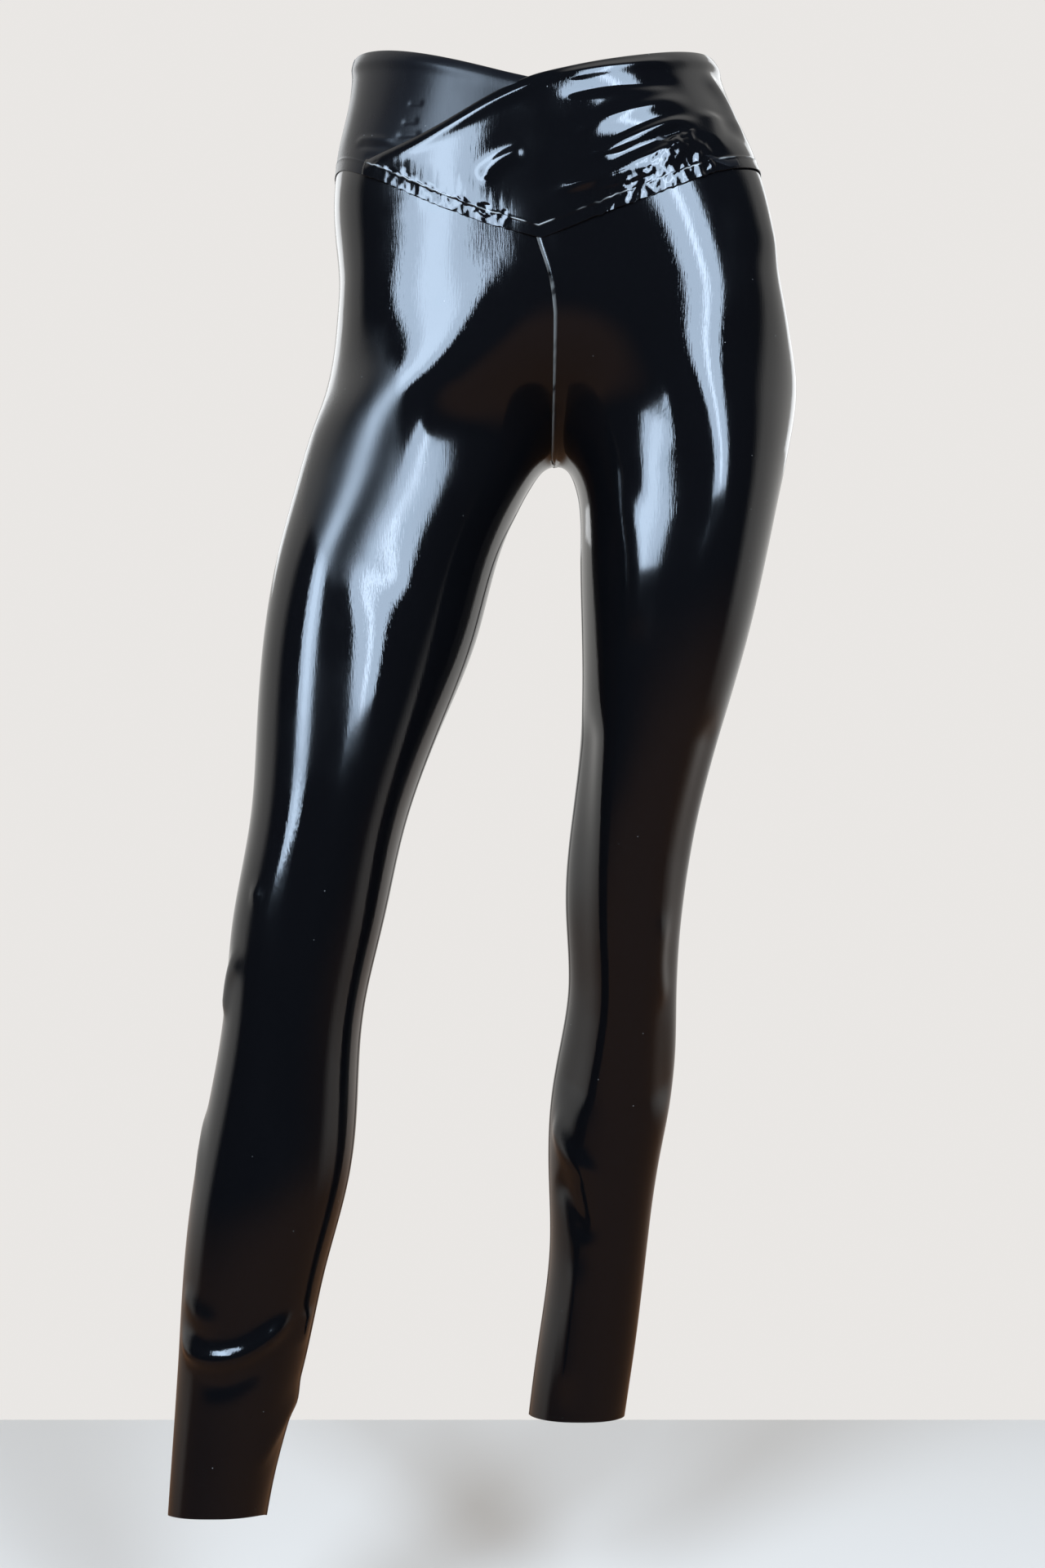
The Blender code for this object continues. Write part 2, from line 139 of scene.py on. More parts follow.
# The leg panels' top edges. Columns: turn, height. The turn is how far round a point is: 0 at centre front,
# 1 at centre back.
RIGHT_V = ((0, -147), (0.1, -136), (0.2, -121), (0.3, -101), (0.4, -84), (0.5, -79), (0.75, -76), (1, -75))
LEFT_V = ((0, -147), (0.1, -134), (0.2, -118), (0.3, -99), (0.4, -89), (0.5, -84), (0.75, -78), (1, -75))

# The waistband's upper edges. Columns: turn, height. Turns here run to -1 on the wearer's right and to 1 on
# the left, and on to 1.5 for the right side seam.
OVER_EDGE = (
    (0.5, -6),
    (0.35, -20),
    (0.2, -35),
    (0.05, -47),
    (-0.1, -63),
    (-0.2, -80),
    (-0.3, -93),
    (-0.4, -100),
)
UNDER_EDGE = (
    (-0.5, -3),
    (-0.35, -18),
    (-0.2, -35),
    (-0.05, -50),
    (0.1, -65),
    (0.2, -82),
    (0.3, -95),
    (0.4, -101),
)
BACK_EDGE = ((0.5, -6), (0.75, 0), (1, 3), (1.25, 2), (1.5, -3))

# Hems. Columns: height of the sides, how much higher the front is.
RIGHT_HEM = (-945, 14)
LEFT_HEM = (-938, 10)
HEM_REACH = 110  # how far up a leg its rows share the hem's tilt

SIDE_TURN = 0.5  # the waistband's side seams
SIDE_LAP = 0.01  # how far past them, in turns, the back band reaches
TIP_TURN = 9 / 28  # where a wrap's narrow end meets the far V seam
STEP_START, STEP_END = 0.34, 0.46  # turns between which the upper wrap steps down off the lower one
TIP_HEIGHT = 3.0  # what is left of the wrap above the seam there
TURN_LENGTH = 380.0  # about how far it is round the hips for each turn
FAR = 300.0  # past the form from anywhere inside it

# ---------------------------------------------------------------- the sheet and its seams

SHEET = 0.5  # the rubber's real thickness
LAP = 8.0  # how far the waistband laps over the leg panels
LAP_OUT = 0.65  # how far a lapped edge's face stands out of the face under it
UNDER_OUT = 1.3  # where the first layer over the leg panels lies
OVER_OUT = 2.6  # and the second
SETTLE = 26.0  # how far up the waistband takes to come down to its lapped edge
LAP_SHRINK = 0.46  # how much thinner two layers are where they are glued down together
CENTRE_LAP = 3.0  # how far the left leg panel laps over the right at the centre seams
CENTRE_STEP = 14.0  # how far past that lap the upper panel takes to lie flat again
INSEAM_LAP = 2.3  # half the width of each inseam's lap
INSEAM_EDGE = 1.0  # the width over which its edge steps down
INSEAM_OUT = 0.45  # how far the inseam's lap stands out
INSEAM_ROWS = 10  # rows below the crotch over which it comes up to that
BEAD_OUT, BEAD_HALF_WIDTH = 0.25, 0.8  # the line that the leg panels' top edges press through the waistband
ROLL = (1.2, 5.0)  # how far in, and over what width, the waistband's upper edge rolls
RIM = 1.0  # radius of the rolled edge's very rim
WELT = (0.9, 8.0, 4.0)  # the fullness below it: height, distance from the edge, half width

# ---------------------------------------------------------------- folds and puckers

# Soft ridges, or troughs where the height is negative. Columns: panel, height, half_width, side of the form,
# points (x, height) along it.
FOLDS = (
    ("wrap_over", 1.6, 5, "front", ((-38, -120), (-23, -107), (-5, -100))),
    ("wrap_over", 1.2, 4.5, "front", ((-2, -57), (31, -49), (59, -44), (92, -35))),
    ("wrap_over", -1.3, 4.5, "front", ((8, -67), (40, -59), (66, -55), (94, -49))),
    ("wrap_over", 1.8, 6, "front", ((14, -98), (46, -80), (82, -67), (100, -62))),
    ("wrap_over", 1.8, 3.5, "front", ((104, -76), (83, -81), (53, -96), (24, -110))),
    ("wrap_over", 1.8, 3.5, "front", ((106, -86), (87, -95), (67, -106), (31, -121), (0, -130))),
    ("wrap_over", -0.8, 2.5, "front", ((97, -82), (68, -96), (38, -111))),
    ("wrap_over", 1.2, 3.5, "front", ((97, -93), (79, -107), (50, -121), (24, -127))),
    ("wrap_over", 1.6, 8, "front", ((108, -64), (112, -80), (110, -95))),
    ("wrap_over", 2.4, 9, "front", ((102, -32), (120, -52), (130, -84))),
    ("wrap_under", -0.6, 2.2, "front", ((-91, -83), (-72, -85))),
    ("wrap_under", -0.5, 2.0, "front", ((-87, -75), (-74, -76))),
    ("wrap_under", -0.4, 1.8, "front", ((-83, -63), (-71, -65))),
    ("wrap_under", 0.8, 2.5, "front", ((-118, -78), (-102, -83), (-88, -88))),
    ("wrap_under", -0.7, 2.2, "front", ((-118, -82), (-102, -88), (-87, -93))),
    ("wrap_under", -0.5, 1.8, "front", ((-112, -92), (-93, -97))),
    ("back_band", 2.2, 9, "back", ((-98, -30), (-60, -52), (-22, -62))),
    ("back_band", 2.2, 9, "back", ((92, -34), (52, -50), (16, -66))),
    ("back_band", 1.0, 4, "back", ((-84, -48), (-50, -62), (-20, -70))),
    ("back_band", 1.0, 4, "back", ((80, -48), (48, -60), (20, -70))),
    ("leg_right_panel", 2.4, 7, "front", ((-181, -594), (-190, -614), (-194, -642))),
    (
        "leg_right_panel",
        4.0,
        5.6,
        "front",
        ((-219, -824), (-208, -835), (-190, -837), (-170, -831), (-144, -812)),
    ),
    ("leg_right_panel", 1.2, 6, "front", ((-216, -800), (-206, -812), (-188, -818))),
    ("leg_right_panel", -1.4, 7, "front", ((-206, -852), (-186, -852), (-160, -840))),
    ("leg_right_panel", 1.5, 9, "front", ((-140, -814), (-146, -840))),
    ("leg_right_panel", 2.0, 8, "front", ((-146, -868), (-159, -887), (-176, -912))),
    ("leg_right_panel", 1.2, 7, "front", ((-205, -660), (-207, -700), (-210, -750))),
    ("leg_right_panel", 1.6, 5, "front", ((-176, -562), (-168, -560))),
    ("leg_right_panel", 0.4, 3, "front", ((-102, -132), (-85, -129), (-67, -127))),
    ("leg_right_panel", 2.6, 12, "back", ((-190, -580), (-160, -592), (-128, -584))),
    ("leg_right_panel", 2.6, 12, "back", ((-210, -846), (-190, -852), (-164, -846))),
    ("leg_left_panel", 2.6, 8, "front", ((12, -724), (18, -744), (32, -756), (44, -752))),
    ("leg_left_panel", -2.4, 9, "front", ((13, -762), (24, -782), (36, -810))),
    ("leg_left_panel", 1.8, 7, "front", ((30, -806), (26, -850), (19, -925))),
    ("leg_left_panel", 1.4, 8, "front", ((84, -575), (80, -612), (86, -650))),
    ("leg_left_panel", 1.5, 10, "front", ((48, -294), (61, -350), (60, -413))),
    ("leg_left_panel", 2.6, 12, "back", ((34, -604), (64, -612), (88, -602))),
    ("leg_left_panel", 2.6, 12, "back", ((14, -846), (36, -852), (60, -844))),
)

# Where glue has puckered the waistband's front above its lapped edge. Columns: x, how far up it reaches.
PUCKERED = (
    (-112, 0),
    (-99, 11),
    (-80, 12),
    (-60, 10),
    (-40, 12),
    (-20, 11),
    (-12, 0),
    (22, 0),
    (38, 12),
    (60, 17),
    (75, 24),
    (85, 30),
    (97, 28),
    (108, 18),
    (113, 6),
    (118, 0),
)
# The puckers themselves. Columns: size, height.
PUCKERS = ((10, 0.7), (5, 0.3), (2.4, 0.12))
FULL_REACH = 18  # how far up they reach where they are at their full height
PUCKER_FADE = 4  # and over what height they die out
FOLD_TAPER = 0.3  # share of a fold's length over which each end dies away

# The whole sheet's slight unevenness. Columns: size, height.
UNEVEN = ((75, 0.2), (26, 0.05))


def spline(rows, column):
    """A natural cubic through one column of a table, as a function of the first."""
    rows = sorted(rows)
    x = np.array([row[0] for row in rows], float)
    y = np.array([row[column] for row in rows], float)
    count = len(x)
    gap = np.diff(x)
    system = np.eye(count)
    right = np.zeros(count)
    for i in range(1, count - 1):
        system[i, i - 1 : i + 2] = gap[i - 1], 2 * (gap[i - 1] + gap[i]), gap[i]
        right[i] = 6 * ((y[i + 1] - y[i]) / gap[i] - (y[i] - y[i - 1]) / gap[i - 1])
    bend = np.linalg.solve(system, right)

    def value(at):
        at = np.clip(at, x[0], x[-1])
        i = np.clip(np.searchsorted(x, at) - 1, 0, count - 2)
        past = at - x[i]
        left = x[i + 1] - at
        cubic = (bend[i] * left**3 + bend[i + 1] * past**3) / (6 * gap[i])
        return cubic + (y[i] / gap[i] - bend[i] * gap[i] / 6) * left + (
            y[i + 1] / gap[i] - bend[i + 1] * gap[i] / 6
        ) * past

    return value


def section_splines(rows):
    """One spline for each column of a table of sections."""
    return [spline(rows, column) for column in range(1, 7)]


HIPS_AT = section_splines(HIPS)
LEGS_AT = {"right": section_splines(RIGHT_LEG), "left": section_splines(LEFT_LEG)}
CENTRE_AT = spline(CENTRE_SEAM, 1)
V_AT = {-1: spline(RIGHT_V, 1), 1: spline(LEFT_V, 1)}


def oval(section, height):
    """Centre and half sizes of a section."""
    right, left, front, back = [side(height) for side in section[:4]]
    return (right + left) / 2, (front + back) / 2, (left - right) / 2, (back - front) / 2


def oval_level(points, section):
    """Zero on the section's oval, and about the distance from it nearby."""
    x, y, half_x, half_y = oval(section, points[..., 2])
    skew, fullness = [side(points[..., 2]) for side in section[4:]]
    across = (points[..., 0] - x) / half_x
    along = ((points[..., 1] - y) / half_y - skew * across) / np.sqrt(1 - skew**2)
    ratio = (np.abs(across) ** fullness + np.abs(along) ** fullness) ** (2 / fullness)
    return (ratio - 1) * np.sqrt(half_x * half_y) / 2


def ease(share):
    """From 0 to 1 with no kink in slope or curvature."""
    share = np.clip(share, 0, 1)
    return share**3 * (share * (6 * share - 15) + 10)


def rounded_line(points, between=6):
    """A smooth line through a few points (Catmull-Rom), as more points."""
    points = np.array(points, float)
    if len(points) == 2:
        return points
    ends = [2 * points[0] - points[1], *points, 2 * points[-1] - points[-2]]
    line = []
    for a, b, c, d in zip(ends, ends[1:], ends[2:], ends[3:]):
        for t in np.arange(between) / between:
            curve = (2 * a - 5 * b + 4 * c - d) * t**2 + (3 * b - a - 3 * c + d) * t**3
            line.append(0.5 * (2 * b + (c - a) * t + curve))
    return np.array([*line, points[-1]])


def segment_distance(points, start, end):
    """Distance from points to the straight line between two others."""
    start, end = np.array(start, float), np.array(end, float)
    along = end - start
    share = np.clip((points - start) @ along / (along @ along), 0, 1)
    return np.linalg.norm(points - start - share[..., None] * along, axis=-1)


def swell(points):
    """How far the form's soft swells stand out."""
    total = np.zeros(points.shape[:-1])
    for height, half_width, along in SWELLS + SOFT_SWELLS:
        line = rounded_line(along, 2)
        spans = [segment_distance(points, *ends) for ends in zip(line, line[1:])]
        total += height * np.exp(-((np.minimum.reduce(spans) / half_width) ** 2))
    return total


def form_level(points):
    """Zero on the outside of the leg panels, below zero inside and above zero outside."""
    hips = oval_level(points, HIPS_AT)
    ratio = sum(((points[..., k] - RISE_CENTRE[k]) / RISE_RADII[k]) ** 2 for k in range(3))
    lobes = [oval_level(points, section) for section in LEGS_AT.values()]
    lobes.append((ratio - 1) * RISE_STIFFNESS)
    nearest = np.minimum.reduce(lobes)
    legs = nearest - FILLET * np.log(sum(np.exp((nearest - lobe) / FILLET) for lobe in lobes))
    fade = ease((FADE_TOP - points[..., 2]) / (FADE_TOP - FADE_BOTTOM))
    return (1 - fade) * hips + fade * legs - swell(points)


def outward(points, step=0.5):
    """Unit normals of the form at points on it."""
    slope = np.empty_like(points)
    for axis in range(3):
        shift = np.zeros(3)
        shift[axis] = step
        slope[..., axis] = form_level(points + shift) - form_level(points - shift)
    return slope / np.linalg.norm(slope, axis=-1, keepdims=True)


def first_hit(origins, targets, reach=1.5, steps=30, halvings=20):
    """Where each line from an origin inside the form through its target first leaves the form."""
    origins, targets = np.broadcast_arrays(origins, targets)
    span = targets - origins
    high = np.full(origins.shape[:-1], np.nan)
    for share in np.linspace(0, reach, steps):
        todo = np.isnan(high)
        out = np.zeros(todo.shape, bool)
        out[todo] = form_level((origins + share * span)[todo]) > 0
        high[out] = share
        if not np.isnan(high).any():
            break
    if np.isnan(high).any():
        raise ValueError("a line never leaves the form")
    low = high - reach / (steps - 1)
    for _ in range(halvings):
        middle = (low + high) / 2
        out = form_level(origins + middle[..., None] * span) > 0
        high = np.where(out, middle, high)
        low = np.where(out, low, middle)
    return origins + ((low + high) / 2)[..., None] * span


def stack(x, y, z):
    """Points from their coordinates, which may be of different shapes."""
    return np.stack(np.broadcast_arrays(x, y, z), axis=-1).astype(float)


def seam_point(share, top, front, lap):
    """A point of the centre seam, from its top (share 0) to the crotch (share 1).

    It runs straight down to RISE_TURN and then turns under. lap is how far past the seam the panel's
    edge reaches, towards +X, and dies out at the crotch.
    """
    share = np.asarray(share, float)
    straight = (top - RISE_TURN) / (top - RISE_TURN + math.pi / 2 * RISE_RADII[2])
    height = top + (RISE_TURN - top) * np.clip(share / straight, 0, 1)
    turned = math.pi / 2 * np.clip((share - straight) / (1 - straight), 0, 1)
    x = CENTRE_AT(height) + lap * (1 - ease((share - 0.8) / 0.2))
    origin = stack(x, RISE_CENTRE[1], height)
    way = -1 if front else 1
    ahead = stack(0 * turned, way * np.cos(turned), -np.sin(turned))
    return first_hit(origin, origin + FAR * ahead, reach=1)


def girth_point(turn, height):
    """A point of the hips by how far round it is (-1 to 1, 0 at centre front) and its height."""
    turn, height = np.broadcast_arrays(np.asarray(turn, float), np.asarray(height, float))
    x, y, _, half_y = oval(HIPS_AT, height)
    lean = np.arctan2(CENTRE_AT(height) - x, half_y)
    angle = lean + (math.pi - 2 * lean * np.sign(turn)) * turn
    origin = stack(x, y, height)
    ahead = stack(np.sin(angle), -np.cos(angle), 0 * angle)
    return first_hit(origin, origin + FAR * ahead, reach=1)


# ---------------------------------------------------------------- relief: folds, puckers, unevenness


def on_form(panel, side, points):
    """Points given by x and height, put on the form's front or back under a panel."""
    x, height = np.array(points, float).T
    section = LEGS_AT[panel.split("_")[1]] if panel.startswith("leg") else HIPS_AT
    _, y, _, _ = oval(section, height)
    origin = stack(x, y, height)
    way = FAR if side == "back" else -FAR
    return first_hit(origin, origin + np.array([0, way, 0]), reach=1)


def along_line(points, line):
    """Each point's distance from a line of straight spans, and how far along the line it is, 0 to 1."""
    lengths = np.linalg.norm(np.diff(line, axis=0), axis=1)
    before = np.concatenate([[0], np.cumsum(lengths)])
    nearest = np.full(points.shape[:-1], np.inf)
    place = np.zeros(points.shape[:-1])
    for start, end, length, passed in zip(line, line[1:], lengths, before):
        share = np.clip((points - start) @ (end - start) / length**2, 0, 1)
        distance = np.linalg.norm(points - start - share[..., None] * (end - start), axis=-1)
        closer = distance < nearest
        nearest = np.where(closer, distance, nearest)
        place = np.where(closer, (passed + share * length) / before[-1], place)
    return nearest, place


def fold_relief(panel, points):
    """How far a panel's folds stand out at points on the form."""
    relief = np.zeros(points.shape[:-1])
    for name, height, half_width, side, along in FOLDS:
        if name != panel:
            continue
        line = on_form(panel, side, rounded_line(along))
        reach = 3 * half_width
        near = np.all((points > line.min(axis=0) - reach) & (points < line.max(axis=0) + reach), axis=-1)
        distance, place = along_line(points[near], line)
        taper = ease(place / FOLD_TAPER) * ease((1 - place) / FOLD_TAPER)
        relief[near] += height * taper * np.exp(-((distance / half_width) ** 2))
    return relief


def noise_at(points, size, seed=0.0):
    """Smooth noise from -1 to 1 whose bumps are about size across."""
    scaled = points.reshape(-1, 3) / size + seed
    return np.array([noise.noise(Vector(p)) for p in scaled]).reshape(points.shape[:-1])


def uneven(points):
    """How far the sheet's slight unevenness stands out."""
    return sum(height * noise_at(points, size, size) for size, height in UNEVEN)


def puckered(points):
    """How far up from its lapped edge the waistband's front is puckered, at points on it."""
    x, reach = np.array(PUCKERED, float).T
    return np.where(points[..., 1] < 0, np.interp(points[..., 0], x, reach), 0)


def puckers(points, from_lap):
    """Sharp little facets beside the lapped edge, taller than wide, that die out raggedly upwards."""
    reach = puckered(points) * (1 + 0.5 * noise_at(points, 6))
    inside = (1 - ease((from_lap - reach + 3) / PUCKER_FADE)) * np.clip(reach / FULL_REACH, 0, 1)
    relief = np.zeros(points.shape[:-1])
    some = inside > 0
    upright = points[some] * (1, 1, 0.7)
    facets = [height * (0.6 - 2 * np.abs(noise_at(upright, size, size))) for size, height in PUCKERS]
    relief[some] = inside[some] * sum(facets)
    return relief


def arc_from(rows, column):
    """Distance along each row from one of its columns."""
    steps = np.linalg.norm(np.diff(rows, axis=1), axis=-1)
    arcs = np.concatenate([np.zeros((len(rows), 1)), np.cumsum(steps, axis=1)], axis=1)
    return np.abs(arcs - arcs[:, [column]])


def rise_arc(rows):
    """Distance down each column from the first row."""
    steps = np.linalg.norm(np.diff(rows, axis=0), axis=-1)
    return np.concatenate([np.zeros((1, rows.shape[1])), np.cumsum(steps, axis=0)])


# ---------------------------------------------------------------- meshes


def sheet_object(name, points, glue, material):
    """A thin closed shell whose outer face runs through rows of points.

    glue is how much dried glue shows at each point, 0 to 1, for the material.
    """
    index = np.arange(points[..., 0].size).reshape(points.shape[:2])
    closed = np.all(np.abs(points[:, 0] - points[:, -1]) < 1e-6, axis=-1)
    index[closed, -1] = index[closed, 0]
    quads = np.stack([index[1:, :-1], index[1:, 1:], index[:-1, 1:], index[:-1, :-1]], axis=-1).reshape(-1, 4)
    used, quads = np.unique(quads, return_inverse=True)
    mesh = bpy.data.meshes.new(name)
    vertices = points.reshape(-1, 3)[used] * MM
    mesh.from_pydata(vertices.tolist(), [], quads.reshape(-1, 4).tolist())
    layer = mesh.attributes.new("glue", "FLOAT", "POINT")
    layer.data.foreach_set("value", glue.reshape(-1)[used].astype(np.float32))
    mesh.shade_smooth()
    mesh.materials.append(material)
    obj = bpy.data.objects.new(name, mesh)
    bpy.context.scene.collection.objects.link(obj)
    wall = obj.modifiers.new("wall", "SOLIDIFY")
    wall.thickness = SHEET * MM
    wall.offset = -1
    return obj


def graded(first, growth, most):
    """Steps from 0 to 1 that start and end small and grow towards the middle."""
    steps = [first]
    while sum(steps) < 0.5:
        steps.append(min(steps[-1] * growth, most))
    steps = np.array(steps) * 0.5 / sum(steps)
    half = np.concatenate([[0], np.cumsum(steps)])
    return np.concatenate([half, 1 - half[-2::-1]])


# ---------------------------------------------------------------- leg panels

TOP_ROWS = 5
RISE_ROWS = 46
LEG_ROWS = 226
TURNS = graded(0.0006, 1.3, 0.0069)


def leg_rings(leg, side, hem, lap):
    """Rows of points down one leg panel, from the V seam to the hem.

    The first rows are open, from the centre-front seam round the outside to the centre-back seam. From
    the crotch down they are closed at the inseam, so their last point repeats their first.
    """
    top = V_AT[side](TURNS)
    tops = [top - share * LAP for share in np.linspace(0, 1, TOP_ROWS)]
    open_rows = girth_point(side * TURNS, np.array(tops))
    for row, heights in zip(open_rows, tops):
        row[0] = seam_point(0, heights[0], True, lap)
        row[-1] = seam_point(0, heights[-1], False, lap)
    crotch = seam_point(1, tops[-1][0], True, lap)
    closed_rows = closed_rings(leg, side, hem, crotch)
    rise = rise_rings(leg, open_rows[-1], closed_rows[0], lap)
    return np.concatenate([open_rows, rise, closed_rows])


def rise_rings(leg, upper, lower, lap):
    """Open rows between the V seam's lap and the crotch ring, whose ends run down the centre seam."""
    shares = np.arange(1, RISE_ROWS) / RISE_ROWS
    fronts = seam_point(shares, upper[0, 2], True, lap)[:, None]
    backs = seam_point(shares, upper[-1, 2], False, lap)[:, None]
    share = shares[:, None, None]
    turn = TURNS[None, :, None]
    guides = upper + share * (lower - upper)
    guides = guides + (1 - turn) ** 3 * (fronts - guides[:, :1]) + turn**3 * (backs - guides[:, -1:])
    core_height = upper[:, 2].mean() + shares * (CROTCH_CORE - upper[:, 2].mean())
    x, y, _, _ = oval(LEGS_AT[leg], core_height[:, None])
    heights = guides[..., 2] + shares[:, None] * (CROTCH_CORE - guides[..., 2])
    rows = first_hit(stack(x, y, heights), guides, reach=2.2, steps=44)
    rows[:, :1] = fronts
    rows[:, -1:] = backs
    return rows


def closed_rings(leg, side, hem, crotch):
    """Closed rows from the crotch to the hem, which dip towards the crotch while they are near it."""
    hem_height, front_rise = hem
    even = np.linspace(CROTCH_CORE, hem_height, LEG_ROWS + 1)
    levels = np.concatenate([even[:-1], hem_height + np.array([2.2, 1.4, 0.8, 0.4, 0])])[:, None]
    angle = 2 * math.pi * TURNS
    tilt = ease((hem_height + HEM_REACH - levels) / HEM_REACH)
    heights = levels + tilt * front_rise * np.sin(angle)
    x, y, _, _ = oval(LEGS_AT[leg], heights)
    x_core, y_core, _, _ = oval(LEGS_AT[leg], CROTCH_CORE)
    pull = (1 - ease((CROTCH_CORE - levels) / DIP_REACH)) * ((1 + np.cos(angle)) / 2) ** 2
    reach = abs(crotch[0] - x_core)
    dip = pull * (CROTCH_CORE - crotch[2]) / reach
    swing = pull * (crotch[1] - y_core) / reach
    origins = stack(x, y, heights)
    ahead = stack(-side * np.cos(angle), swing - np.sin(angle), -dip)
    rows = first_hit(origins, origins + FAR * ahead, reach=1, steps=90)
    rows[0, 0] = crotch
    rows[:, -1] = rows[:, 0]
    return rows


def seam_relief(seam, count_open, side):
    """How far a leg panel stands out at its laps: the left one's edge at the centre seam, and both inseams.

    seam is each point's distance from the panel's nearer edge, and the first count_open rows are open.
    """
    row = np.arange(len(seam))[:, None]
    opened = row < count_open
    centre = LAP_OUT * (1 - ease((seam - CENTRE_LAP) / CENTRE_STEP)) if side > 0 else 0.0
    step = 1 - ease((seam - INSEAM_LAP + INSEAM_EDGE / 2) / INSEAM_EDGE)
    inseam = INSEAM_OUT * step * ease((row - count_open) / INSEAM_ROWS)
    return np.where(opened, centre, inseam)


def make_leg(leg, side, hem, material):
    """One leg panel; side is -1 on the wearer's right and 1 on the left."""
    name = f"leg_{leg}_panel"
    rows = leg_rings(leg, side, hem, -CENTRE_LAP if side > 0 else 0.0)
    count_open = TOP_ROWS + RISE_ROWS - 1
    seam = np.minimum(arc_from(rows, 0), arc_from(rows, -1))
    relief = fold_relief(name, rows) + uneven(rows) + seam_relief(seam, count_open, side)
    points = rows + relief[..., None] * outward(rows)
    closed = np.all(rows[:, 0] == rows[:, -1], axis=-1)
    points[closed, -1] = points[closed, 0]
    glue = np.where((np.arange(len(rows)) < count_open)[:, None] & (side > 0), 1 - ease(seam / 0.5), 0)
    glue *= 0.5 * ease(0.9 + 1.5 * noise_at(rows, 5))
    if side < 0:
        points, glue = points[:, ::-1], glue[:, ::-1]
    return sheet_object(f"{leg}_leg_sheet", points, glue, material)


# ---------------------------------------------------------------- waistband

LAP_SHARES = np.array([0, 0.015, 0.04, 0.09, 0.17, 0.27, 0.38, 0.5, 0.62, 0.73, 0.83, 0.9, 0.945, 0.975])
RIM_STEPS = np.array([1.0, 0.8, 0.62, 0.45, 0.3, 0.17, 0.07, 0.0])  # from the upper edge


def band_grid(turns, edge, rows):
    """Rows of points up a waistband piece, from its lapped edge below the V seam to its upper edge."""
    turns = np.where(turns > 1, turns - 2, turns)
    seam = np.where(turns < 0, V_AT[-1](np.abs(turns)), V_AT[1](np.abs(turns)))
    upper = np.maximum(edge, seam + TIP_HEIGHT)
    lower = girth_point(turns, seam - LAP)
    ragged = np.clip(puckered(lower) / 8, 0, 1) * noise_at(lower, 3.5)
    lap = seam - (LAP + ragged) * (1 - LAP_SHARES[:, None])
    middle = seam + (upper - RIM - seam) * graded(0.0035, 1.15, 1.04 / rows)[:-1, None]
    return girth_point(turns, np.concatenate([lap, middle, upper - RIM_STEPS[:, None]]))


def make_band(name, first, last, edge, out, columns, rows, material):
    """One piece of the waistband between two turns; out gives how far out it lies at each turn."""
    turns = np.linspace(first, last, columns)
    grid = band_grid(turns, spline(edge, 1)(turns), rows)
    from_lap = rise_arc(grid)
    from_edge = from_lap[-1] - from_lap
    relief = fold_relief(name, grid) * ease(from_lap / 10) * ease(from_edge / 8)
    relief += uneven(grid) + puckers(grid, from_lap)
    level = out(turns)
    lapped = LAP_OUT + (level - UNDER_OUT) * LAP_SHRINK
    relief += level - (1 - ease(from_lap / SETTLE)) * (level - lapped)
    relief += edge_relief(from_edge)
    relief += BEAD_OUT * np.exp(-(((from_lap - LAP) / BEAD_HALF_WIDTH) ** 2))
    points = grid + relief[..., None] * outward(grid)
    glue = np.exp(-(((from_lap - LAP) / 0.3) ** 2)) * (grid[..., 1] < -20) * ease(0.4 + 2 * noise_at(grid, 9))
    return sheet_object(f"{name}_sheet", points[::-1], glue[::-1], material)


def edge_relief(from_edge):
    """The waistband's upper edge: a little fullness, then a roll inwards that ends in a round rim."""
    depth, width = ROLL
    height, place, half_width = WELT
    welt = height * np.exp(-(((from_edge - place) / half_width) ** 2))
    roll = depth * np.clip(1 - from_edge / width, 0, 1) ** 2
    rim = RIM - np.sqrt(RIM**2 - np.clip(RIM - from_edge, 0, 0.97 * RIM) ** 2)
    return welt - roll - rim


def first_layer(turns):
    """Straight on the leg panels all along."""
    return np.full_like(turns, UNDER_OUT)


def second_layer(turns):
    """Over the other wrap as far as its narrow end, then down beside the back band."""
    return UNDER_OUT + (OVER_OUT - UNDER_OUT) * ease((STEP_END - turns) / (STEP_END - STEP_START))


def back_layer(turns):
    """Over the wraps' ends at the side seams."""
    lapped = np.minimum(turns - SIDE_TURN, 2 - SIDE_TURN - turns) * TURN_LENGTH
    return UNDER_OUT + LAP_OUT * (1 - ease((lapped - 0.5) / 3))


# ---------------------------------------------------------------- materials


POLISHED = 0.045  # roughness where the rubber is clean and polished
# Smears in the polish. Columns: scale, stretch, detail, the noise where they start and are full, roughness.
SMEARS = ((11, (1, 1, 1), 3, 0.45, 0.7, 0.07), (26, (1, 1, 0.35), 6, 0.45, 0.75, 0.08))
MATTE_CENTRE = (-0.121, -0.11, -0.272)  # the dull patch on the right thigh, and its half sizes
MATTE_RADII = (0.034, 0.08, 0.095)
MATTE_ROUGHNESS = 0.22
DUST_SCALE = 170
DUST_SHADE = 0.5  # how much of the dust's colour a speck has
DUST_COLOUR = (0.3, 0.29, 0.27)  # also the dried glue's
DUST_ROUGHNESS = 0.4
GRAIN = (1100, (1, 1, 0.1), 2)  # the sheet's own fine grain, drawn out down the legs: scale, stretch, detail
GRAIN_DEPTH = 0.00003
BLACK = (0.0025, 0.0025, 0.003)
DULL_BLACK = (0.0045, 0.0045, 0.0055)


def own_space(tree):
    """Places in the object's own space, in metres."""
    return tree.nodes.new("ShaderNodeTexCoord").outputs["Object"]


